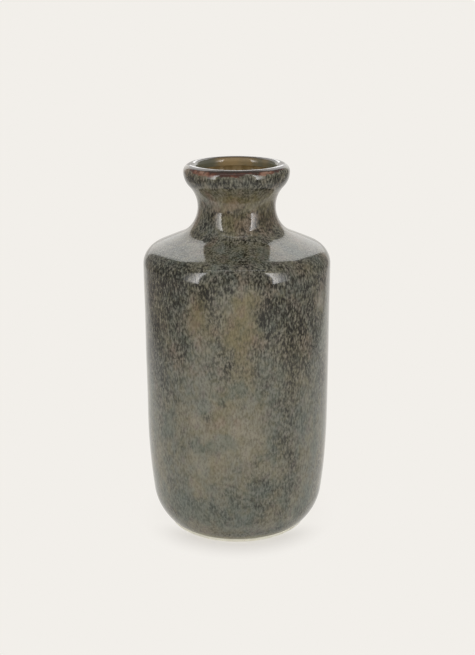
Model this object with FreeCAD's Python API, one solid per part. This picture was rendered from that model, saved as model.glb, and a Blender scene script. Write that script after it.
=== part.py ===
import FreeCAD, Part
import math
import os

# A glazed stoneware bottle vase: a tall straight-walled body, a round shoulder, a pinched neck and
# a thick flared lip. It is one fired clay body with coats of glaze melted onto it. Each coat is a
# solid of its own that lies face to face on the clay or on the coat below.
# Lengths are millimetres and angles are degrees. The axis of the vase is +Z and the foot stands
# on Z = 0. Outlines are drawn in the half plane of radius and height, and turned about the axis.

# Overall form, measured on the finished glazed surface
height = 260.0
body_radius = 65.0
waist_radius = 26.8
rim_radius = 36.35

# Shoulder and neck
neck_height = 29.2
neck_round = 21.7
shoulder_round = 13.7
shoulder_slope = 23.25
flare_share = 0.6

# Lip
lip_outer_round = 5.55
lip_inner_round = 3.6
throat_share = 0.4

# Lower body
belly_height = 79.0
belly_round = 470.0
heel_round = 36.5
heel_tuck = 44.0

# Foot, which is bare clay up to the edge of the glaze
foot_band = 2.4
foot_width = 7.0
foot_edge_round = 0.8
recess_depth = 3.0
recess_round = 1.2

# Thickness of the clay
clay_wall = 5.0
clay_floor = 6.0
floor_round = 22.0

# Glaze
first_coat = 0.4
second_coat = 0.4
second_coat_lap = 1.0
lip_coat_reach = 6.0

# Angles in an outline: out from the axis, straight up, straight in and straight down
OUT = 0
UP = 90
IN = 180
DOWN = -90
WHOLE_TURN = 360
AXIS = FreeCAD.Vector(0, 0, 1)
ORIGIN = FreeCAD.Vector(0, 0, 0)
SAME_PLACE = 1e-7


def reach(long_side, other_side):
    """The other side of a right triangle, from its longest side and one short side."""
    return math.sqrt(long_side ** 2 - other_side ** 2)


def angle_of(centre, target):
    """The direction from one place of the outline to another, in degrees."""
    return math.degrees(math.atan2(target[1] - centre[1], target[0] - centre[0]))


def height_angle(centre, radius, level):
    """The direction in which a circle of the outline crosses a height, on its outer side."""
    return math.degrees(math.asin((level - centre[1]) / radius))


def double_curve(low, high, low_share):
    """Two arcs that join two upright places smoothly: the centres, the radii and their angle.

    The lower arc opens outward from the low place and the upper one closes in at the high place.
    """
    across = high[0] - low[0]
    along = high[1] - low[1]
    both = (across ** 2 + along ** 2) / (2 * across)
    low_round = both * low_share
    high_round = both - low_round
    low_centre = (low[0] + low_round, low[1])
    high_centre = (high[0] - high_round, high[1])
    return low_centre, low_round, high_centre, high_round, angle_of(high_centre, low_centre)


# The coats together, and the wall from the finished outside to the finished inside
coats = first_coat + second_coat
whole_wall = clay_wall + 2 * coats

# Neck and lip, from the waist up
waist_height = height - neck_height
waist = (waist_radius, waist_height)
rim = (rim_radius, height - lip_outer_round)
flare, flare_round, swell, swell_round, flare_angle = double_curve(waist, rim, flare_share)
crest_radius = rim_radius - lip_outer_round
lip_outer = (crest_radius, height - lip_outer_round)
lip_inner = (crest_radius, height - lip_inner_round)

# Throat, inside the neck and the lip
inner_waist = (waist_radius - whole_wall, waist_height)
mouth = (crest_radius - lip_inner_round, height - lip_inner_round)
funnel, funnel_round, throat, throat_round, throat_angle = double_curve(inner_waist, mouth, throat_share)
lip_coat_end = height - lip_coat_reach

# Shoulder, a straight slope between the arc of the neck and the arc of the shoulder
slope_normal = UP - shoulder_slope
slope_across = math.cos(math.radians(slope_normal))
slope_up = math.sin(math.radians(slope_normal))
neck_centre = (waist_radius + neck_round, waist_height)
arcs_apart = body_radius - shoulder_round - neck_centre[0]
slope_length = (arcs_apart + (shoulder_round + neck_round) * slope_across) / slope_up
shoulder_drop = (shoulder_round + neck_round) * slope_up + slope_length * slope_across
shoulder_centre = (body_radius - shoulder_round, waist_height - shoulder_drop)

# Belly and heel. The heel turns in under the body until it meets the bare foot.
belly_centre = (body_radius - belly_round, belly_height)
clay_heel_round = heel_round - coats
heel_height = foot_band + clay_heel_round * math.sin(math.radians(heel_tuck))
heel_radius = belly_centre[0] + reach(belly_round - heel_round, belly_height - heel_height)
heel_centre = (heel_radius, heel_height)
belly_angle = angle_of(belly_centre, heel_centre)
foot_radius = heel_radius + clay_heel_round * math.cos(math.radians(heel_tuck))

# Floor of the cavity, and the round corner that leads to it
floor_height = recess_depth + clay_floor + coats
corner_height = floor_height + floor_round
corner_radius = belly_centre[0] + reach(belly_round - whole_wall - floor_round, belly_height - corner_height)
corner_centre = (corner_radius, corner_height)
corner_angle = angle_of(belly_centre, corner_centre)

# Underside of the foot
recess_radius = foot_radius - foot_width
recess_corner = (recess_radius - recess_round, recess_depth - recess_round)


def place(radius, level):
    """A corner of an outline."""
    return [FreeCAD.Vector(radius, 0, level)]


def bend(centre, radius, start, end):
    """A round stretch of an outline, as the first, middle and last point of its arc."""
    points = []
    for angle in (start, (start + end) / 2, end):
        turn = math.radians(angle)
        points += place(centre[0] + radius * math.cos(turn), centre[1] + radius * math.sin(turn))
    return points


def back(stretches):
    """The same stretches of an outline, followed the other way."""
    return [stretch[::-1] for stretch in stretches[::-1]]


def turned(outline):
    """The solid that a closed outline sweeps about the axis, its stretches joined by straight lines."""
    edges = []
    for stretch, following in zip(outline, outline[1:] + outline[:1]):
        if len(stretch) > 1:
            edges.append(Part.Arc(*stretch).toShape())
        if stretch[-1].distanceToPoint(following[0]) > SAME_PLACE:
            edges.append(Part.makeLine(stretch[-1], following[0]))
    return Part.Face(Part.Wire(edges)).revolve(ORIGIN, AXIS, WHOLE_TURN)


def outside(depth, level):
    """The outside at a depth under its finished surface, from a height on the heel up to the rim."""
    start = height_angle(heel_centre, heel_round - depth, level)
    return [
        bend(heel_centre, heel_round - depth, start, belly_angle),
        bend(belly_centre, belly_round - depth, belly_angle, OUT),
        bend(shoulder_centre, shoulder_round - depth, OUT, slope_normal),
        bend(neck_centre, neck_round + depth, slope_normal + IN, IN),
        bend(flare, flare_round + depth, IN, flare_angle + IN),
        bend(swell, swell_round - depth, flare_angle, OUT),
    ]


def over_lip(depth):
    """The lip at a depth under its finished surface, from the rim over the crest into the mouth."""
    return [
        bend(lip_outer, lip_outer_round - depth, OUT, UP),
        bend(lip_inner, lip_inner_round - depth, UP, IN),
    ]


def inside(depth):
    """The inside at a depth under its finished surface, from the mouth down to the floor's middle."""
    return [
        bend(throat, throat_round + depth, OUT, throat_angle),
        bend(funnel, funnel_round - depth, throat_angle + IN, IN),
        bend(neck_centre, neck_round + whole_wall - depth, IN, slope_normal + IN),
        bend(shoulder_centre, shoulder_round - whole_wall + depth, slope_normal, OUT),
        bend(belly_centre, belly_round - whole_wall + depth, OUT, corner_angle),
        bend(corner_centre, floor_round + depth, corner_angle, DOWN),
        place(0, floor_height - depth),
    ]


def recess(depth):
    """The recess under the foot, below its clay by a depth, from the middle out to the foot ring."""
    return [
        place(0, recess_depth - depth),
        bend(recess_corner, recess_round - depth, UP, OUT),
    ]


def make_clay_body():
    """The fired clay: foot ring, body, shoulder, neck and lip in one wall."""
    ring_outer = (foot_radius - foot_edge_round, foot_edge_round)
    ring_inner = (recess_radius + foot_edge_round, foot_edge_round)
    underside = recess(0) + [
        bend(ring_inner, foot_edge_round, IN, IN + UP),
        bend(ring_outer, foot_edge_round, DOWN, OUT),
    ]
    return turned(underside + outside(coats, foot_band) + over_lip(coats) + inside(coats))


def make_base_glaze():
    """The first coat outside, from the bare foot up to the crest of the lip."""
    finished = outside(second_coat, foot_band) + over_lip(second_coat)[:1]
    against_clay = outside(coats, foot_band) + over_lip(coats)[:1]
    return turned(finished + back(against_clay))


def make_liner_glaze():
    """The first coat inside, from the crest of the lip down over the floor."""
    finished = over_lip(second_coat)[1:] + inside(second_coat)
    against_clay = over_lip(coats)[1:] + inside(coats)
    return turned(finished + back(against_clay))


def make_mottle_glaze():
    """The second coat outside, from just above the first coat's edge up to the widest of the rim."""
    level = foot_band + second_coat_lap
    return turned(outside(0, level) + back(outside(second_coat, level)))


def make_lip_glaze():
    """The second coat on the lip, from the widest of the rim over the crest into the throat."""

    def surface(depth):
        end = height_angle(throat, throat_round + depth, lip_coat_end)
        return over_lip(depth) + [bend(throat, throat_round + depth, OUT, end)]

    return turned(surface(0) + back(surface(second_coat)))


def make_recess_glaze():
    """The coat on the recess under the foot, clear of the surface that the vase stands on."""
    return turned(recess(first_coat) + back(recess(0)))


def export(name, shape):
    """Write one piece to its own file."""
    shape.exportStep(os.path.join("parts", name + ".step"))
    print(f"{name}: {shape.Volume / 1000:.2f} cm3, valid {shape.isValid()}, solids {len(shape.Solids)}")


os.makedirs("parts", exist_ok=True)
export("clay_body", make_clay_body())
export("base_glaze", make_base_glaze())
export("mottle_glaze", make_mottle_glaze())
export("lip_glaze", make_lip_glaze())
export("liner_glaze", make_liner_glaze())
export("recess_glaze", make_recess_glaze())
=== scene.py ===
# Looks of a glazed stoneware bottle vase: fine meshes of its clay and of its coats of glaze, their
# materials, and a plain pale stage. Lengths are metres, and the axis of the vase is +Z. A turn is
# an angle round the axis in degrees, from the front of the vase towards its right side.
import math

import bmesh
import bpy
from mathutils import Color, Matrix, Vector, noise


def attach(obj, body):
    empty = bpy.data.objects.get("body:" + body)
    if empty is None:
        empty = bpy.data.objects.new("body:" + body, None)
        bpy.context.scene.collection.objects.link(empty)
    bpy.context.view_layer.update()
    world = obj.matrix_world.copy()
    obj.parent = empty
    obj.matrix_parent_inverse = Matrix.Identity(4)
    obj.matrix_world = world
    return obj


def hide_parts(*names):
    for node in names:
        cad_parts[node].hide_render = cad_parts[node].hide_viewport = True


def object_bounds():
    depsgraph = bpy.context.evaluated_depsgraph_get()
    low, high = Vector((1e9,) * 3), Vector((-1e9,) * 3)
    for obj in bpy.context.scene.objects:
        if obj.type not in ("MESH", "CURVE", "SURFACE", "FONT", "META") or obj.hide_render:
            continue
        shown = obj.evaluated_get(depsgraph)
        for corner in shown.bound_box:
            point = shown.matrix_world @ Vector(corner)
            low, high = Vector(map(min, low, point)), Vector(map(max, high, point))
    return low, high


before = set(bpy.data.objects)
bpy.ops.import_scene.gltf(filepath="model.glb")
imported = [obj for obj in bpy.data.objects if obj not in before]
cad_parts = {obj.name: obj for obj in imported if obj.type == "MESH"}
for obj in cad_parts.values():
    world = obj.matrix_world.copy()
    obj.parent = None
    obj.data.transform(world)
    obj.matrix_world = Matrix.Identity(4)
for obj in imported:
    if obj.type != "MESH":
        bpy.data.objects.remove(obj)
cad_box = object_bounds()
mm = 0.001

# Angles in an outline: out from the axis, straight up, straight in and straight down
OUT = 0
UP = 90
IN = 180
DOWN = -90
WHOLE_TURN = 360

# Overall form, from the frame
height = cad_box[1].z - cad_box[0].z
body_radius = (cad_box[1].x - cad_box[0].x) / 2

# Sizes that the part's source has too
waist_radius = 26.8 * mm
rim_radius = 36.35 * mm
neck_height = 29.2 * mm
neck_round = 21.7 * mm
shoulder_round = 13.7 * mm
shoulder_slope = 23.25
flare_share = 0.6
lip_outer_round = 5.55 * mm
lip_inner_round = 3.6 * mm
throat_share = 0.4
belly_height = 79 * mm
belly_round = 470 * mm
heel_round = 36.5 * mm
heel_tuck = 44
foot_band = 2.4 * mm
foot_width = 7 * mm
foot_edge_round = 0.8 * mm
recess_depth = 3 * mm
recess_round = 1.2 * mm
clay_wall = 5 * mm
clay_floor = 6 * mm
floor_round = 22 * mm
first_coat = 0.4 * mm
second_coat = 0.4 * mm
second_coat_lap = 1 * mm
lip_coat_reach = 6 * mm

# Fineness of the meshes
columns = 200
outline_step = 1.7 * mm
outline_turn = 7
heel_steps = 26
edge_steps = 4
sharp_turn = 50
same_place = 0.001 * mm

# Unevenness of a pot made by hand: the whole wall drifts a little above the foot, and a glaze's
# edge wavers
drift = 0.14 * mm
drift_size = 34 * mm
drift_starts = 12 * mm
drift_seed = 1
waver = 0.35 * mm
waver_size = 9 * mm
noise.seed_set(drift_seed)


def reach(long_side, other_side):
    """The other side of a right triangle, from its longest side and one short side."""
    return math.sqrt(long_side ** 2 - other_side ** 2)


def angle_of(centre, target):
    """The direction from one place of the outline to another, in degrees."""
    return math.degrees(math.atan2(target[1] - centre[1], target[0] - centre[0]))


def height_angle(centre, radius, level):
    """The direction in which a circle of the outline crosses a height, on its outer side."""
    return math.degrees(math.asin((level - centre[1]) / radius))


def double_curve(low, high, low_share):
    """Two arcs that join two upright places smoothly: the centres, the radii and their angle."""
    across = high[0] - low[0]
    along = high[1] - low[1]
    both = (across ** 2 + along ** 2) / (2 * across)
    low_round = both * low_share
    high_round = both - low_round
    low_centre = (low[0] + low_round, low[1])
    high_centre = (high[0] - high_round, high[1])
    return low_centre, low_round, high_centre, high_round, angle_of(high_centre, low_centre)


# The coats together, and the wall from the finished outside to the finished inside
coats = first_coat + second_coat
whole_wall = clay_wall + 2 * coats

# Neck and lip, from the waist up, and the throat inside them
waist_height = height - neck_height
waist = (waist_radius, waist_height)
rim = (rim_radius, height - lip_outer_round)
flare, flare_round, swell, swell_round, flare_angle = double_curve(waist, rim, flare_share)
crest_radius = rim_radius - lip_outer_round
lip_outer = (crest_radius, height - lip_outer_round)
lip_inner = (crest_radius, height - lip_inner_round)
inner_waist = (waist_radius - whole_wall, waist_height)
mouth = (crest_radius - lip_inner_round, height - lip_inner_round)
funnel, funnel_round, throat, throat_round, throat_angle = double_curve(inner_waist, mouth, throat_share)
lip_coat_end = height - lip_coat_reach

# Shoulder, a straight slope between the arc of the neck and the arc of the shoulder
slope_normal = UP - shoulder_slope
slope_across = math.cos(math.radians(slope_normal))
slope_up = math.sin(math.radians(slope_normal))
neck_centre = (waist_radius + neck_round, waist_height)
arcs_apart = body_radius - shoulder_round - neck_centre[0]
slope_length = (arcs_apart + (shoulder_round + neck_round) * slope_across) / slope_up
shoulder_drop = (shoulder_round + neck_round) * slope_up + slope_length * slope_across
shoulder_centre = (body_radius - shoulder_round, waist_height - shoulder_drop)

# Belly, heel and foot
belly_centre = (body_radius - belly_round, belly_height)
clay_heel_round = heel_round - coats
heel_height = foot_band + clay_heel_round * math.sin(math.radians(heel_tuck))
heel_radius = belly_centre[0] + reach(belly_round - heel_round, belly_height - heel_height)
heel_centre = (heel_radius, heel_height)
belly_angle = angle_of(belly_centre, heel_centre)
foot_radius = heel_radius + clay_heel_round * math.cos(math.radians(heel_tuck))
recess_radius = foot_radius - foot_width
recess_corner = (recess_radius - recess_round, recess_depth - recess_round)

# Floor of the cavity
floor_height = recess_depth + clay_floor + coats
corner_height = floor_height + floor_round
corner_radius = belly_centre[0] + reach(belly_round - whole_wall - floor_round, belly_height - corner_height)
corner_centre = (corner_radius, corner_height)
corner_angle = angle_of(belly_centre, corner_centre)


def bend(centre, radius, start, end, steps=None):
    """A round stretch of an outline, as evenly spaced points of its arc."""
    if steps is None:
        by_length = radius * math.radians(abs(end - start)) / outline_step
        by_turn = abs(end - start) / outline_turn
        steps = math.ceil(max(by_length, by_turn, 1))
    angles = [math.radians(start + (end - start) * step / steps) for step in range(steps + 1)]
    return [(centre[0] + radius * math.cos(angle), centre[1] + radius * math.sin(angle)) for angle in angles]


def back(stretches):
    """The same stretches of an outline, followed the other way."""
    return [stretch[::-1] for stretch in stretches[::-1]]


def joined(stretches):
    """One closed outline from its stretches, with evenly spaced points on the straight runs between."""
    outline = []
    for stretch, following in zip(stretches, stretches[1:] + stretches[:1]):
        outline += stretch
        start = Vector(stretch[-1])
        along = Vector(following[0]) - start
        if along.length < same_place:
            outline.pop()
        steps = math.ceil(along.length / outline_step)
        outline += [tuple(start + along * step / steps) for step in range(1, steps)]
    return outline


def heel_place(depth, level):
    """The place on the heel at a depth under its finished surface and at a height."""
    return heel_centre[0] + reach(heel_round - depth, level - heel_centre[1]), level


def rolled_edge(depth, thickness, level):
    """The round lower edge of a coat on the heel, from its underside out to its finished surface."""
    angles = [math.radians(UP * step / edge_steps) for step in range(edge_steps)]
    return [
        heel_place(depth + thickness * (1 - math.sin(angle)), level + thickness * (1 - math.cos(angle)))
        for angle in angles
    ]


def outside(depth, level):
    """The outside at a depth under its finished surface, from a height on the heel up to the rim."""
    start = height_angle(heel_centre, heel_round - depth, level)
    return [
        bend(heel_centre, heel_round - depth, start, belly_angle, heel_steps),
        bend(belly_centre, belly_round - depth, belly_angle, OUT),
        bend(shoulder_centre, shoulder_round - depth, OUT, slope_normal),
        bend(neck_centre, neck_round + depth, slope_normal + IN, IN),
        bend(flare, flare_round + depth, IN, flare_angle + IN),
        bend(swell, swell_round - depth, flare_angle, OUT),
    ]


def over_lip(depth):
    """The lip at a depth under its finished surface, from the rim over the crest into the mouth."""
    return [
        bend(lip_outer, lip_outer_round - depth, OUT, UP),
        bend(lip_inner, lip_inner_round - depth, UP, IN),
    ]


def inside(depth):
    """The inside at a depth under its finished surface, from the mouth down to the floor's middle."""
    return [
        bend(throat, throat_round + depth, OUT, throat_angle),
        bend(funnel, funnel_round - depth, throat_angle + IN, IN),
        bend(neck_centre, neck_round + whole_wall - depth, IN, slope_normal + IN),
        bend(shoulder_centre, shoulder_round - whole_wall + depth, slope_normal, OUT),
        bend(belly_centre, belly_round - whole_wall + depth, OUT, corner_angle),
        bend(corner_centre, floor_round + depth, corner_angle, DOWN),
        [(0, floor_height - depth)],
    ]


def recess(depth):
    """The recess under the foot, below its clay by a depth, from the middle out to the foot ring."""
    return [[(0, recess_depth - depth)], bend(recess_corner, recess_round - depth, UP, OUT)]


def wavered(turn, seed):
    """How far the edge of a coat lies from its level at a turn. Each seed gives a waver of its own."""
    angle = math.radians(turn)
    spot = Vector((math.sin(angle), math.cos(angle), seed)) * foot_radius / waver_size
    return noise.noise(spot) * waver


def clay_outline(turn):
    """The fired clay: foot ring, body, shoulder, neck and lip in one wall."""
    ring_outer = (foot_radius - foot_edge_round, foot_edge_round)
    ring_inner = (recess_radius + foot_edge_round, foot_edge_round)
    underside = recess(0) + [
        bend(ring_inner, foot_edge_round, IN, IN + UP),
        bend(ring_outer, foot_edge_round, DOWN, OUT),
    ]
    return joined(underside + outside(coats, foot_band) + over_lip(coats) + inside(coats))


def base_outline(turn):
    """The first coat outside, from the bare foot up to the crest of the lip."""
    level = foot_band + wavered(turn, 0)
    finished = outside(second_coat, level + first_coat) + over_lip(second_coat)[:1]
    against_clay = outside(coats, level) + over_lip(coats)[:1]
    return joined([rolled_edge(second_coat, first_coat, level)] + finished + back(against_clay))


def mottle_outline(turn):
    """The second coat outside, from just above the first coat's edge up to the widest of the rim."""
    level = foot_band + second_coat_lap + wavered(turn, 0) + wavered(turn, 1)
    edge = rolled_edge(0, second_coat, level)
    return joined([edge] + outside(0, level + second_coat) + back(outside(second_coat, level)))


def lip_outline(turn):
    """The second coat on the lip, from the widest of the rim over the crest into the throat."""

    def surface(depth):
        end = height_angle(throat, throat_round + depth, lip_coat_end)
        return over_lip(depth) + [bend(throat, throat_round + depth, OUT, end)]

    return joined(surface(0) + back(surface(second_coat)))


def liner_outline(turn):
    """The first coat inside, from the crest of the lip down over the floor."""
    finished = over_lip(second_coat)[1:] + inside(second_coat)
    return joined(finished + back(over_lip(coats)[1:] + inside(coats)))


def recess_outline(turn):
    """The coat on the recess under the foot, clear of the surface that the vase stands on."""
    return joined(recess(first_coat) + back(recess(0)))


def uneven(place):
    """A place of the perfect form, moved as the wall of a real pot drifts. The foot stays flat."""
    share = min(max(place.z / drift_starts, 0), 1)
    return place + noise.noise_vector(place / drift_size) * drift * share


def lathe(name, outline_at):
    """A closed skin that follows an outline round the axis. The outline may change with the turn."""
    turns = [WHOLE_TURN * column / columns for column in range(columns)]
    vertices = []
    for turn in turns:
        angle = math.radians(turn)
        for radius, level in outline_at(turn):
            vertices.append(uneven(Vector((radius * math.sin(angle), -radius * math.cos(angle), level))))
    count = len(vertices) // columns
    faces = []
    for column in range(columns):
        here = column * count
        beside = (column + 1) % columns * count
        for step in range(count):
            above = (step + 1) % count
            faces.append((here + step, beside + step, beside + above, here + above))
    mesh = bpy.data.meshes.new(name)
    mesh.from_pydata(vertices, [], faces)
    shape = bmesh.new()
    shape.from_mesh(mesh)
    bmesh.ops.remove_doubles(shape, verts=shape.verts, dist=same_place)
    shape.to_mesh(mesh)
    shape.free()
    mesh.shade_smooth()
    mesh.set_sharp_from_angle(angle=math.radians(sharp_turn))
    piece = bpy.data.objects.new(name, mesh)
    bpy.context.scene.collection.objects.link(piece)
    return piece


def colour(red, green, blue):
    """A colour written in display values from 0 to 255, as the shaders need it."""
    return [*Color((red / 255, green / 255, blue / 255)).from_srgb_to_scene_linear(), 1]


class Paint:
    """A material, with short calls that add nodes to it. A value is a number or another node's output."""

    def __init__(self, name):
        self.material = bpy.data.materials.new(name)
        self.material.use_nodes = True
        self.tree = self.material.node_tree
        self.shader = next(node for node in self.tree.nodes if node.type == "BSDF_PRINCIPLED")
        self.place = self.add("ShaderNodeTexCoord").outputs["Object"]

    def give(self, socket, value):
        """Sets a socket to a value, or links it to another node's output."""
        if isinstance(value, bpy.types.NodeSocket):
            self.tree.links.new(value, socket)
        else:
            socket.default_value = value

    def add(self, kind, values=None, **settings):
        """A new node with its settings and the values of its sockets."""
        node = self.tree.nodes.new(kind)
        for setting, value in settings.items():
            setattr(node, setting, value)
        for socket, value in (values or {}).items():
            self.give(node.inputs[socket], value)
        return node

    def sum(self, one, other):
        """One value plus another."""
        return self.add("ShaderNodeMath", {0: one, 1: other}, operation="ADD").outputs[0]

    def product(self, one, other):
        """One value times another."""
        return self.add("ShaderNodeMath", {0: one, 1: other}, operation="MULTIPLY").outputs[0]

    def larger(self, one, other):
        """The larger of two values."""
        return self.add("ShaderNodeMath", {0: one, 1: other}, operation="MAXIMUM").outputs[0]

    def moved(self, place, scale, shift):
        """A place times a scale for each axis, plus a shift."""
        values = {0: place, 1: scale, 2: shift}
        return self.add("ShaderNodeVectorMath", values, operation="MULTIPLY_ADD").outputs[0]

    def step(self, value, low, high, to_low=0, to_high=1):
        """A soft step from one value to another, where the given value goes from low to high."""
        values = {"Value": value, "From Min": low, "From Max": high, "To Min": to_low, "To Max": to_high}
        return self.add("ShaderNodeMapRange", values, interpolation_type="SMOOTHSTEP").outputs[0]

    def blend(self, share, one, other):
        """A mix of two colours, where a share of 1 is the other."""
        values = {0: share, 6: one, 7: other}
        return self.add("ShaderNodeMix", values, data_type="RGBA").outputs[2]

    def layered(self, base, fields, layers):
        """A colour with further colours over it, each where its field goes from low to high."""
        for field, low, high, share, layer in layers:
            base = self.blend(self.step(fields[field], low, high, 0, share), base, layer)
        return base

    def clouds(self, size, seed, upright, detail, roughness=0.5):
        """Random soft spots of a size, from 0 to 1. Each seed gives spots of its own, and they are
        longer up and down where upright is over 1."""
        scale = (1 / size, 1 / size, 1 / size / upright)
        vector = self.moved(self.place, scale, (seed, seed, seed))
        values = {"Vector": vector, "Scale": 1, "Detail": detail, "Roughness": roughness}
        return self.add("ShaderNodeTexNoise", values).outputs[0]

    def swing(self, texture, amount, edge=0.3):
        """A random field that swings softly between minus and plus an amount, where its texture goes
        from an edge up to the opposite edge."""
        return self.step(self.clouds(*texture), edge, 1 - edge, -amount, amount)

    def level(self):
        """The height of a place on the vase."""
        return self.add("ShaderNodeSeparateXYZ", {0: self.place}).outputs[2]

    def patch(self, place, turn, out, level, across, tall):
        """A soft oval patch on the wall, from 1 in its middle to 0 at its edge."""
        angle = math.radians(turn)
        middle = Vector((out * math.sin(angle), -out * math.cos(angle), level))
        scale = Vector((1 / across, 1 / across, 1 / tall))
        offset = self.moved(place, scale, -middle * scale)
        distance = self.add("ShaderNodeVectorMath", {0: offset}, operation="LENGTH").outputs["Value"]
        return self.step(distance, 0, 1, 1, 0)

    def finish(self, base, roughness, bumps, relief):
        """Gives the shader its colour, its roughness and bumps of a fine relief."""
        self.give(self.shader.inputs["Base Color"], base)
        self.give(self.shader.inputs["Roughness"], roughness)
        bump = self.add("ShaderNodeBump", {"Height": bumps, "Distance": relief, "Strength": 1})
        self.give(self.shader.inputs["Normal"], bump.outputs[0])
        return self.material


# Colours of the glaze
tan = colour(121, 117, 99)
warm_tan = colour(119, 110, 79)
olive = colour(106, 101, 74)
grey_green = colour(105, 108, 98)
purple_brown = colour(109, 99, 92)
slate_green = colour(91, 101, 92)
rosy_tan = colour(134, 112, 96)
fleck_dark = colour(27, 25, 15)
fleck_slate = colour(40, 40, 30)
fleck_pale = colour(156, 149, 135)
rust = colour(104, 62, 45)
light_rust = colour(146, 114, 95)
maroon = colour(66, 40, 32)
crest_brown = colour(44, 31, 24)
throat_tan = colour(154, 132, 94)
throat_grey = colour(104, 104, 88)
liner_brown = colour(112, 92, 54)
honey_edge = colour(146, 143, 112)
cream = colour(240, 239, 224)
cream_speck = colour(206, 192, 164)

# Random soft textures: the size of their spots, their seed, how much longer up and down they are,
# their detail, and in two of the lip's the roughness of the detail
wander_texture = (11 * mm, 5, 1, 3)
cloud_texture = (52 * mm, 2, 1.5, 2)
clump_texture = (8 * mm, 3, 1.2, 3)
warm_texture = (22 * mm, 7, 1.6, 3)
hue_texture = (13 * mm, 19, 1.4, 3)
grain_texture = (1.3 * mm, 11, 2.2, 1.5)
fine_texture = (0.9 * mm, 13, 2, 1)
tint_texture = (5 * mm, 17, 1.3, 2)
blotch_texture = (3 * mm, 21, 1, 3, 0.65)
rust_texture = (7 * mm, 22, 0.6, 3, 0.6)
gap_texture = (20 * mm, 24, 1, 1)
streak_texture = (14 * mm, 23, 3, 3)
base_haze = (3 * mm, 31, 1, 3)
liner_haze = (6 * mm, 41, 2, 3)
liner_specks = (1.2 * mm, 43, 1, 2)
clay_haze = (7 * mm, 51, 1, 4)
clay_specks = (0.7 * mm, 53, 1, 2)

# The second coat is darker, warmer or redder in random clouds, by these amounts. Its large patches
# wander out of their ovals by up to half the reach.
cloud_dark = 0.3
clump_dark = 0.4
clump_edge = 0.25
random_warm = 0.9
random_red = 1
wander_reach = 9 * mm

# Colours over the grey-green ground of the second coat: the field that each follows, the field's
# values where it starts and where it is full, its share there, and the colour
ground_layers = [
    ("warm", -1.2, 0.6, 1, tan),
    ("warm", 0.3, 1.8, 1, warm_tan),
    ("tint", 0.48, 0.68, 0.5, olive),
    ("tint", 0.46, 0.28, 0.5, purple_brown),
    ("red", -0.2, -1.4, 0.6, slate_green),
    ("red", 0.2, 1.4, 0.5, rosy_tan),
    ("dark", -0.3, 1.6, 0.55, fleck_slate),
    ("dark", -0.2, -1.6, 0.5, fleck_pale),
]

# Flecks of the second coat, by the steps of its two grains. Dark places widen them.
dark_flecks = (0.42, 0.68)
pale_flecks = (0.5, 0.3, 0, 0.4)
fine_flecks = (0.5, 0.75)
fleck_widening = 0.03

# The flecks' strength is a product of steps, one for each row: a field, where the step starts and
# ends, and its value there. The lower body's haze gives way to clear flecks further up.
strength_steps = [
    ("dark", -0.6, 1.4, 0.36, 1.12),
    ("level", 0.2 * height, 0.6 * height, 0.85, 1),
    ("warm", 0.3, 1.6, 1, 0.65),
]

# Heights between which the thin hem of the second coat gives way to its full colour
hem_low = foot_band + second_coat_lap
hem_high = 8 * mm
hem_share = 0.6

# Gloss and relief of the second coat, which are the lip's too
ground_roughness = 0.08
fleck_roughness = 0.12
tint_relief = 2
wall_relief = 0.001 * mm

# The broken band outside the crest of the lip, with gaps in it, and rust in two places
band_middle = (rim_radius, height - lip_outer_round / 2)
band_level = rim[1] + 3.8 * mm
band_fade = 0.9 * mm
band_share = 0.94
band_raggedness = 5 * mm
gap_step = (0.4, 0.65)
gap_depth = 1.6 * mm
side_gap_turns = (-78, 78)
side_gap_depth = 3.2 * mm
side_gap_reach = 22 * mm
rust_turns = (-41, 34)
rust_reach = 9 * mm
rust_amount = 0.3

# Colours over the band's maroon, in the same form as the ground's
crust_layers = [
    ("rusty", 0.46, 0.62, 1, rust),
    ("rusty", 0.6, 0.8, 1, light_rust),
    ("blotches", 0.5, 0.35, 0.7, crest_brown),
    ("level", band_level, band_level + band_fade, 1, crest_brown),
]

# The throat, tan at the back and greyer in front, from inside the crest down to the mouth
throat_starts = crest_radius - lip_inner_round / 4
throat_tan_reach = 34 * mm
streak_amount = 0.3

# The first coats and the clay: colours over the ground in the same form, relief and roughness
base_layers = [("haze", 0.3, 0.7, 1, honey_edge)]
base_relief = 0.01 * mm
base_roughness = 0.12
liner_layers = [("haze", 0.3, 0.7, 1, throat_tan), ("specks", 0.62, 0.72, 0.6, crest_brown)]
liner_relief = 0.02 * mm
liner_roughness = 0.1
clay_layers = [("specks", 0.6, 0.72, 0.7, cream_speck), ("haze", 0.4, 0.8, 0.3, cream_speck)]
clay_relief = 0.05 * mm
clay_roughness = 0.85

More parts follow.
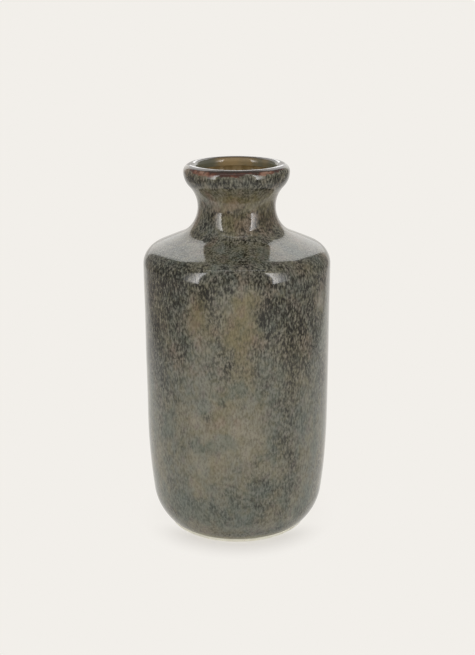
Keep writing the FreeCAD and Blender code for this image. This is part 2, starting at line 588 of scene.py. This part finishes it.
# Large soft patches of the second coat: turn, shares of the body's radius that it lies out from the
# axis and of the height, shares of the radius across and up, and how much darker, how much warmer
# and how much redder it is. A very wide one rings the whole vase.
patch_shares = [
    (0, 1, 0.73, 9, 0.34, 0.7, -0.25, 0),
    (0, 1, 0.62, 9, 0.9, 0.1, 0, 0),
    (0, 1, 0.45, 0.6, 1.4, 0.15, 0, -0.1),
    (-15, 1, 0.67, 0.16, 0.24, 0.4, 0, 0),
    (15, 1, 0.67, 0.16, 0.2, 0.5, 0, 0),
    (-35, 1, 0.54, 0.2, 0.3, 0.4, 0, 0),
    (33, 1, 0.28, 0.3, 0.4, 0.3, 0, 0),
    (15, 1, 0.06, 0.6, 0.1, -0.9, 0, 0),
    (0, 1, 0.06, 0.9, 0.1, -0.5, 0, 0),
    (0, 1, 0.8, 9, 0.4, 0.2, -0.2, 0),
    # The next ring darkens the flare just under the rim: painted shade beneath the overhanging lip
    (0, 0.5, 0.967, 9, 0.12, 1.0, -0.7, 0),
    (0, 1, 0.1, 9, 0.4, 0, -0.2, -0.9),
    (0, 1, 0.3, 9, 0.9, 0, 0, -0.5),
    (2, 1, 0.7, 0.24, 0.3, -0.4, 1.0, 0),
    (-44, 1, 0.6, 0.4, 0.9, 0.6, 0.1, 0),
    (-17, 1, 0.385, 0.14, 0.12, 0.5, 0, 0),
    (35, 1, 0.22, 0.16, 0.34, 0.5, 0, 0),
    (12, 1, 0.14, 0.3, 0.14, 0.5, 0, 0),
    (25, 1, 0.71, 0.14, 0.1, -0.8, 0, 0),
    (35, 1, 0.14, 0.14, 0.14, 0.5, 0, 0),
    (15, 1, 0.07, 0.2, 0.06, 0.5, 0, 0),
    (35, 1, 0.07, 0.2, 0.08, -0.6, 0.4, -0.4),
    (25, 1, 0.39, 0.12, 0.12, -0.5, 0, 0),
    (-15, 1, 0.62, 0.2, 0.5, 0.25, 0, 0),
    (-65, 1, 0.67, 0.18, 0.16, 1.6, 0, 0),
    (-35, 1, 0.67, 0.14, 0.14, 0.6, 0, 0),
    (25, 1, 0.55, 0.16, 0.26, 0.5, 0, 0),
    (-5, 1, 0.53, 0.14, 0.14, 0.5, 0, 0),
    (-15, 1, 0.39, 0.14, 0.14, 0.7, 0, 0),
    (5, 1, 0.11, 0.18, 0.12, -0.8, 0, 0),
    (65, 1, 0.46, 0.22, 0.34, 0.6, 0, 0),
    (65, 1, 0.2, 0.22, 0.34, 0.6, 0, 0),
    (35, 1, 0.17, 0.16, 0.16, 0.5, 0, 0),
    (15, 1, 0.065, 0.2, 0.1, 1.2, 0, 0),
    (35, 1, 0.065, 0.16, 0.08, -0.8, 0, 0),
    (50, 1, 0.07, 0.3, 0.12, 0.3, 0, 0),
    (35, 1, 0.53, 0.14, 0.14, 0.5, 0, 0),
    (-48, 1, 0.55, 0.3, 0.4, -0.6, 0, 0),
    (0, 0.8, 0.79, 0.6, 0.2, 0.15, -0.5, -0.5),
    (48, 0.8, 0.785, 0.5, 0.2, 0.1, -0.9, -0.9),
    (-48, 0.8, 0.785, 0.5, 0.2, -0.2, -0.7, -0.7),
    (-42, 1, 0.45, 0.3, 0.7, 0.2, 0, 0),
    (35, 1, 0.71, 0.14, 0.12, -0.7, 0, 0),
    (15, 1, 0.64, 0.16, 0.3, 0.4, 0, 0),
    (60, 1, 0.665, 0.14, 0.2, -1.9, -1.0, -0.3),
    (-48, 1, 0.066, 0.4, 0.1, 0.6, 0, 0),
    (-52, 1, 0.44, 0.2, 0.3, 0.5, 0, 0),
    (30, 1, 0.42, 0.3, 0.4, 0.4, 0, 0),
    (-62, 1, 0.56, 0.4, 1.0, 1.0, -0.1, 0),
    (-60, 1, 0.71, 0.3, 0.2, 0.7, 0, 0),
    (-15, 1, 0.72, 0.2, 0.12, 0.6, 0, 0),
    (12, 1, 0.7, 0.5, 0.12, 0, 0.6, 0),
    (-62, 1, 0.33, 0.4, 0.8, 0, -0.9, -0.3),
    (42, 1, 0.38, 0.5, 0.7, 0, -0.5, -0.3),
    (-10, 1, 0.36, 0.5, 0.9, -0.4, 0.1, 0),
    (18, 1, 0.66, 0.18, 0.3, 0.5, -0.1, 0),
    (30, 1, 0.63, 0.4, 0.7, 1.0, 0, 0),
    (50, 1, 0.62, 0.36, 0.8, 0.5, -0.1, 0),
    (36, 1, 0.53, 0.26, 0.5, 0.5, -0.1, 0),
    (31, 1, 0.33, 0.3, 0.36, 0.2, -0.2, 0),
    (14, 1, 0.18, 0.5, 0.2, 0.3, -0.2, 0),
    (2, 1, 0.6, 0.3, 0.6, -0.1, 1.2, 0.2),
    (-20, 1, 0.66, 0.2, 0.4, 0.2, 0.9, 0.6),
    (-22, 1, 0.45, 0.3, 0.9, -0.4, 0.3, 0.2),
    (6, 1, 0.36, 0.36, 0.9, -0.7, 0.5, 0.3),
    (2, 1, 0.49, 0.32, 0.3, -0.2, 1.2, -0.5),
    (-8, 1, 0.425, 0.1, 0.1, 0.6, 0.2, 0),
    (-22, 1, 0.42, 0.2, 0.3, 0.1, -1.0, -0.8),
    (19, 1, 0.45, 0.12, 0.2, 0, -0.4, 1.2),
    (-3, 1, 0.36, 0.3, 0.14, 0, -0.2, 1.0),
    (-25, 1, 0.22, 0.3, 0.3, -0.7, 0.2, 0),
    (50, 1, 0.78, 0.3, 0.2, 0, 1.2, 0.3),
    (-38, 1, 0.125, 0.22, 0.2, 0.3, -0.2, 0),
    (0, 0.42, 0.865, 0.9, 0.14, 0.6, 0.8, 0.2),
    (-45, 0.42, 0.86, 0.26, 0.3, 0.4, -1.6, -1.2),
    (48, 0.42, 0.86, 0.26, 0.3, 0.8, 0.4, 0.3),
    (0, 0.42, 0.85, 0.2, 0.09, 0.7, 0.8, -0.4),
    (0, 0.42, 0.89, 0.9, 0.06, 0.6, 0, 0),
    (0, 0.46, 0.822, 0.9, 0.07, 0.7, 0, 0),
    (-60, 0.54, 0.955, 0.3, 0.14, 0.8, -0.4, 0),
    (60, 0.54, 0.955, 0.3, 0.14, 0.6, 0.4, 0),
    (0, 0.42, 0.9, 0.3, 0.14, 0.3, 0.9, 0.5),
    (0, 0.45, 0.925, 0.4, 0.08, 0.2, 1.0, -0.4),
    (0, 0.45, 0.89, 9, 0.9, 0.1, 0.5, 0.5),
]


def large_patches(paint, place):
    """How much darker, warmer and redder the large patches make a place."""
    changes = [0, 0, 0]
    for turn, out, level, across, tall, *amounts in patch_shares:
        middle = (turn, out * body_radius, level * height)
        cover = paint.patch(place, *middle, across * body_radius, tall * body_radius)
        for change, amount in enumerate(amounts):
            if amount:
                changes[change] = paint.sum(changes[change], paint.product(cover, amount))
    return changes


def reactive_wall(paint):
    """The second coat's colour, its roughness and its relief: flecks over a cloudy tan ground."""
    wander = paint.clouds(*wander_texture).node.outputs["Color"]
    shift = paint.moved(wander, [wander_reach] * 3, [-wander_reach / 2] * 3)
    place = paint.add("ShaderNodeVectorMath", {0: paint.place, 1: shift}, operation="ADD").outputs[0]
    darker, warmer, redder = large_patches(paint, place)
    clouds = paint.swing(cloud_texture, cloud_dark)
    clumps = paint.swing(clump_texture, clump_dark, clump_edge)
    fields = {
        "dark": paint.sum(paint.sum(clouds, clumps), darker),
        "warm": paint.sum(paint.swing(warm_texture, random_warm), warmer),
        "red": paint.sum(paint.swing(hue_texture, random_red), redder),
        "tint": paint.clouds(*tint_texture),
        "level": paint.level(),
    }
    ground = paint.layered(grey_green, fields, ground_layers)
    strength = 1
    for field, *ends in strength_steps:
        strength = paint.product(strength, paint.step(fields[field], *ends))
    grain = paint.sum(paint.clouds(*grain_texture), paint.product(fields["dark"], fleck_widening))
    flecks = paint.product(paint.step(grain, *dark_flecks), strength)
    fine = paint.step(paint.clouds(*fine_texture), *fine_flecks)
    base = paint.blend(paint.product(paint.step(grain, *pale_flecks), strength), ground, fleck_pale)
    base = paint.blend(flecks, base, fleck_dark)
    base = paint.blend(paint.product(fine, strength), base, fleck_dark)
    base = paint.blend(paint.step(fields["level"], hem_low, hem_high, hem_share, 0), base, honey_edge)
    roughness = paint.step(flecks, 0, 1, ground_roughness, fleck_roughness)
    return base, roughness, paint.sum(flecks, paint.product(fields["tint"], tint_relief))


def make_mottle_paint():
    """The second coat on the whole outside."""
    paint = Paint("mottled_glaze")
    return paint.finish(*reactive_wall(paint), wall_relief)


def make_lip_paint():
    """Rust and maroon where the glaze breaks outside the crest, tan inside the throat."""
    paint = Paint("lip_glaze")
    wall, roughness, bumps = reactive_wall(paint)
    level = paint.level()
    blotches = paint.clouds(*blotch_texture)
    rusty = paint.clouds(*rust_texture)
    for turn in rust_turns:
        spot = paint.patch(paint.place, turn, *band_middle, rust_reach, rust_reach)
        rusty = paint.sum(rusty, paint.product(spot, rust_amount))
    gaps = paint.step(paint.clouds(*gap_texture), *gap_step, 0, -gap_depth)
    worn = paint.sum(paint.product(blotches, band_raggedness), gaps)
    for turn in side_gap_turns:
        spot = paint.patch(paint.place, turn, *band_middle, side_gap_reach, side_gap_reach)
        worn = paint.sum(worn, paint.product(spot, -side_gap_depth))
    band = paint.step(paint.sum(level, worn), band_level, band_level + band_fade)
    crust = paint.layered(maroon, {"rusty": rusty, "blotches": blotches, "level": level}, crust_layers)
    base = paint.blend(paint.product(band, band_share), wall, crust)
    flat = paint.moved(paint.place, (1, 1, 0), (0, 0, 0))
    out = paint.add("ShaderNodeVectorMath", {0: flat}, operation="LENGTH").outputs["Value"]
    behind = paint.patch(paint.place, IN, mouth[0], height, throat_tan_reach, throat_tan_reach)
    tan_share = paint.step(paint.sum(behind, paint.swing(streak_texture, streak_amount)), 0, 1)
    throat_colour = paint.blend(tan_share, throat_grey, throat_tan)
    base = paint.blend(paint.step(out, throat_starts, mouth[0]), base, throat_colour)
    return paint.finish(base, roughness, bumps, wall_relief)


def make_base_paint():
    """The first coat outside and the recess: olive with pale honey spots."""
    paint = Paint("first_glaze")
    haze = paint.clouds(*base_haze)
    base = paint.layered(olive, {"haze": haze}, base_layers)
    return paint.finish(base, base_roughness, haze, base_relief)


def make_liner_paint():
    """The coat inside: brown and tan with dark specks."""
    paint = Paint("liner_glaze")
    fields = {"haze": paint.clouds(*liner_haze), "specks": paint.clouds(*liner_specks)}
    base = paint.layered(liner_brown, fields, liner_layers)
    return paint.finish(base, liner_roughness, fields["haze"], liner_relief)


def make_clay_paint():
    """Bare stoneware: cream, matt and finely speckled."""
    paint = Paint("bare_clay")
    fields = {"haze": paint.clouds(*clay_haze), "specks": paint.clouds(*clay_specks)}
    base = paint.layered(cream, fields, clay_layers)
    return paint.finish(base, clay_roughness, fields["specks"], clay_relief)


def place_piece(name, node, outline_at, material):
    """One piece of the vase, in the place of the CAD node that it stands for."""
    piece = lathe(name, outline_at)
    piece.data.materials.append(material)
    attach(piece, "root")
    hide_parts(node)


# The stage: table and backdrop in one sheet with an arched top, and dim plain light around. Beside a
# bright wedge that opens away from the camera, the sheet is greyer and reflections see it unlit by
# its own glow: this grey is painted shade, standing in for the dim room that the glaze reflects at
# its sides. Round the foot it keeps the vase's shadow.
background = colour(242, 239, 234)
painted_shade_grey = colour(196, 193, 189)
stage_width = 9.0
stage_front = 3.0
stage_strips = 36
backdrop_distance = 1.5
backdrop_bend = 0.5
backdrop_pieces = 16
arch_top = 2.45
arch_side = -0.15
arch_fall = 0.55
arch_foot = 0.55
world_strength = 0.35
shadow_reach = 26 * mm
shadow_share = 0.52
shadow_side_share = 0.95
shadow_ends = 20 * mm
bright_side = 0.2
bright_front = 0.35
bright_spread = 0.45
side_fade = 0.1

# Two upright panels stand in front, square to the camera's direction. Each begins at its own turn,
# where it is brightest, and fades outward.
panel_front = 0.9
panel_width = 1.3
panel_bottom = 0.01
panel_elevation = 47
panel_strength = 9.8
panel_fade = 0.04
panel_tone = (1, 0.98, 0.985)
left_panel_turn = -45
right_panel_turn = 41.5

# Two soft panels side by side behind and above the vase face it, and fade along their height. Each
# has its inner and outer edge.
back_distance = 1.3
back_elevation = 27.5
back_left = (-0.27, -0.82)
back_right = (0.25, 0.76)
back_tall = 1.44
back_roll = 3
back_strength = 2.5
back_fade = 0.166

# A small upright panel between them gives the front of the lip's crest its thin line of light
middle_distance = 1.3
middle_bottom = 0.55
middle_width = 0.52
middle_tall = 0.28
middle_strength = 2.6

# A slim strip hangs above, a little in front
strip_height = 1.7
strip_front = 0.49
strip_width = 1.6
strip_tall = 0.12
strip_strength = 1.6

# Camera, as the photograph was taken. Its picture is 475 by 655 pixels.
picture_tall = 655
focal_pixels = 1055.7
sensor_size = 36
camera_distance = 715 * mm
camera_height = 372.7 * mm
camera_side = 0.25 * mm
camera_pitch = math.degrees(0.311)
camera_roll = -0.2


def make_stage_paint():
    """Pale paper, a painted shade greyer at the far sides. Near the foot the camera sees its real shade,
    which holds the shadow.
    """
    paint = Paint("pale_paper")
    paint.tree.nodes.remove(paint.shader)
    place = paint.add("ShaderNodeSeparateXYZ", {0: paint.place}).outputs
    forward = place[1]
    spread = paint.product(paint.larger(forward, bright_front), -bright_spread)
    side = paint.sum(paint.larger(place[0], paint.product(place[0], -1)), spread)
    # At the far sides the paper is a painted shade of grey, which the glaze reflects as a dim room
    paper = paint.blend(paint.step(side, bright_side, bright_side + side_fade), background, painted_shade_grey)
    lit = paint.add("ShaderNodeBsdfDiffuse", {"Color": paper})
    glow = paint.add("ShaderNodeEmission", {"Color": background, "Strength": 1})
    path = paint.add("ShaderNodeLightPath")
    mirrored = paint.larger(path.outputs["Is Glossy Ray"], path.outputs["Is Transmission Ray"])
    mirrored = paint.product(mirrored, paint.step(side, bright_side, bright_side + side_fade, 1, 0))
    seen = paint.larger(path.outputs["Is Camera Ray"], mirrored)
    distance = paint.add("ShaderNodeVectorMath", {0: paint.place}, operation="LENGTH").outputs["Value"]
    near_share = paint.step(forward, -foot_radius, -shadow_ends, shadow_share, shadow_side_share)
    plain_share = paint.step(distance, foot_radius, foot_radius + shadow_reach, near_share, 1)
    share = paint.product(seen, plain_share)
    mixed = paint.add("ShaderNodeMixShader", {0: share, 1: lit.outputs[0], 2: glow.outputs[0]})
    surface = next(node for node in paint.tree.nodes if node.type == "OUTPUT_MATERIAL")
    paint.give(surface.inputs["Surface"], mixed.outputs[0])
    return paint.material


def make_stage():
    """The table and the backdrop as one bent sheet."""
    angles = [math.radians(UP * step / backdrop_pieces) for step in range(backdrop_pieces + 1)]
    middle = backdrop_distance - backdrop_bend
    outline = [(-stage_front, 0)]
    outline += [(middle + backdrop_bend * math.sin(a), backdrop_bend * (1 - math.cos(a))) for a in angles]
    sides = [stage_width * (step / stage_strips - 0.5) for step in range(stage_strips + 1)]
    vertices = []
    for side in sides:
        top = max(arch_top - arch_fall * (side - arch_side) ** 2, arch_foot)
        vertices += [(side, y, z) for y, z in outline + [(backdrop_distance, top)]]
    count = len(outline) + 1
    faces = []
    for strip in range(stage_strips):
        for row in range(count - 1):
            here = strip * count + row
            faces.append((here, here + count, here + count + 1, here + 1))
    mesh = bpy.data.meshes.new("table_and_backdrop")
    mesh.from_pydata(vertices, [], faces)
    mesh.shade_smooth()
    mesh.materials.append(make_stage_paint())
    sheet = bpy.data.objects.new("table_and_backdrop", mesh)
    bpy.context.scene.collection.objects.link(sheet)


def make_lamp(name, width, tall, strength, fade=1, along=0, from_far=False, tone=(1, 1, 1)):
    """A panel light that faces -Z, as bright as a surface of a strength. Along its width (0) or its
    height (1) it falls to a share of itself, and with from_far it is brightest at the far side."""
    light = bpy.data.lights.new(name, "AREA")
    light.shape = "RECTANGLE"
    light.size = width
    light.size_y = tall
    light.energy = strength * math.pi * width * tall
    light.color = tone
    light.use_nodes = True
    tree = light.node_tree
    emission = next(node for node in tree.nodes if node.type == "EMISSION")
    spot = tree.nodes.new("ShaderNodeSeparateXYZ")
    tree.links.new(tree.nodes.new("ShaderNodeNewGeometry").outputs["Parametric"], spot.inputs[0])
    way = tree.nodes.new("ShaderNodeMath")
    way.operation = "SUBTRACT" if from_far else "ADD"
    way.inputs[0].default_value = 1 if from_far else 0
    tree.links.new(spot.outputs[along], way.inputs[1])
    falling = tree.nodes.new("ShaderNodeMath")
    falling.operation = "POWER"
    falling.inputs[0].default_value = fade
    tree.links.new(way.outputs[0], falling.inputs[1])
    tree.links.new(falling.outputs[0], emission.inputs["Strength"])
    lamp = bpy.data.objects.new(name, light)
    lamp.visible_camera = False
    bpy.context.scene.collection.objects.link(lamp)
    return lamp


def make_front_panel(name, turn):
    """An upright panel in front, whose inner edge is at a turn."""
    inner = panel_front * math.tan(math.radians(turn))
    side = math.copysign(1, turn)
    top = height + math.hypot(panel_front, inner) * math.tan(math.radians(panel_elevation))
    tall = top - panel_bottom
    lamp = make_lamp(name, panel_width, tall, panel_strength, panel_fade, from_far=side < 0, tone=panel_tone)
    lamp.location = (inner + side * panel_width / 2, -panel_front, panel_bottom + tall / 2)
    lamp.rotation_euler = (math.radians(UP), 0, 0)


def make_back_panel(name, inner, outer):
    """One of the two halves of the light behind, which reaches from one side to another."""
    tilt = math.radians(back_elevation)
    place = Matrix.Translation((0, back_distance * math.cos(tilt), height + back_distance * math.sin(tilt)))
    facing = Matrix.Rotation(tilt - math.radians(UP), 4, "X")
    roll = Matrix.Rotation(math.radians(back_roll), 4, "Z")
    lamp = make_lamp(name, abs(outer - inner), back_tall, back_strength, back_fade, 1)
    lamp.matrix_world = place @ facing @ roll @ Matrix.Translation(((inner + outer) / 2, 0, 0))


def make_middle_panel():
    """The small upright panel behind the vase."""
    lamp = make_lamp("middle_panel", middle_width, middle_tall, middle_strength)
    lamp.location = (0, middle_distance, middle_bottom + middle_tall / 2)
    lamp.rotation_euler = (-math.radians(UP), 0, 0)


def make_strip():
    """The slim strip of light above, turned towards the vase."""
    lamp = make_lamp("top_strip", strip_width, strip_tall, strip_strength)
    lamp.location = (0, -strip_front, strip_height)
    lamp.rotation_euler = (math.atan(strip_front / strip_height), 0, 0)


def make_world():
    """Plain dim light from all around."""
    world = bpy.data.worlds.new("dim_room")
    world.use_nodes = True
    plain = next(node for node in world.node_tree.nodes if node.type == "BACKGROUND")
    plain.inputs["Color"].default_value = (1, 1, 1, 1)
    plain.inputs["Strength"].default_value = world_strength
    bpy.context.scene.world = world


def make_camera():
    """The camera, pitched down at the vase."""
    data = bpy.data.cameras.new("camera")
    data.sensor_width = sensor_size
    data.lens = focal_pixels * sensor_size / picture_tall
    camera = bpy.data.objects.new("camera", data)
    place = Matrix.Translation((camera_side, -camera_distance, camera_height))
    pitch = Matrix.Rotation(math.radians(UP - camera_pitch), 4, "X")
    roll = Matrix.Rotation(math.radians(camera_roll), 4, "Z")
    camera.matrix_world = place @ pitch @ roll
    bpy.context.scene.collection.objects.link(camera)
    bpy.context.scene.camera = camera


place_piece("clay_pot", "clay_body", clay_outline, make_clay_paint())
place_piece("first_coat", "base_glaze", base_outline, make_base_paint())
place_piece("mottled_coat", "mottle_glaze", mottle_outline, make_mottle_paint())
place_piece("lip_coat", "lip_glaze", lip_outline, make_lip_paint())
place_piece("liner_coat", "liner_glaze", liner_outline, make_liner_paint())
place_piece("recess_coat", "recess_glaze", recess_outline, make_base_paint())
make_stage()
make_front_panel("left_panel", left_panel_turn)
make_front_panel("right_panel", right_panel_turn)
make_back_panel("back_left_panel", *back_left)
make_back_panel("back_right_panel", *back_right)
make_middle_panel()
make_strip()
make_world()
make_camera()
bpy.context.scene.view_settings.view_transform = "Standard"
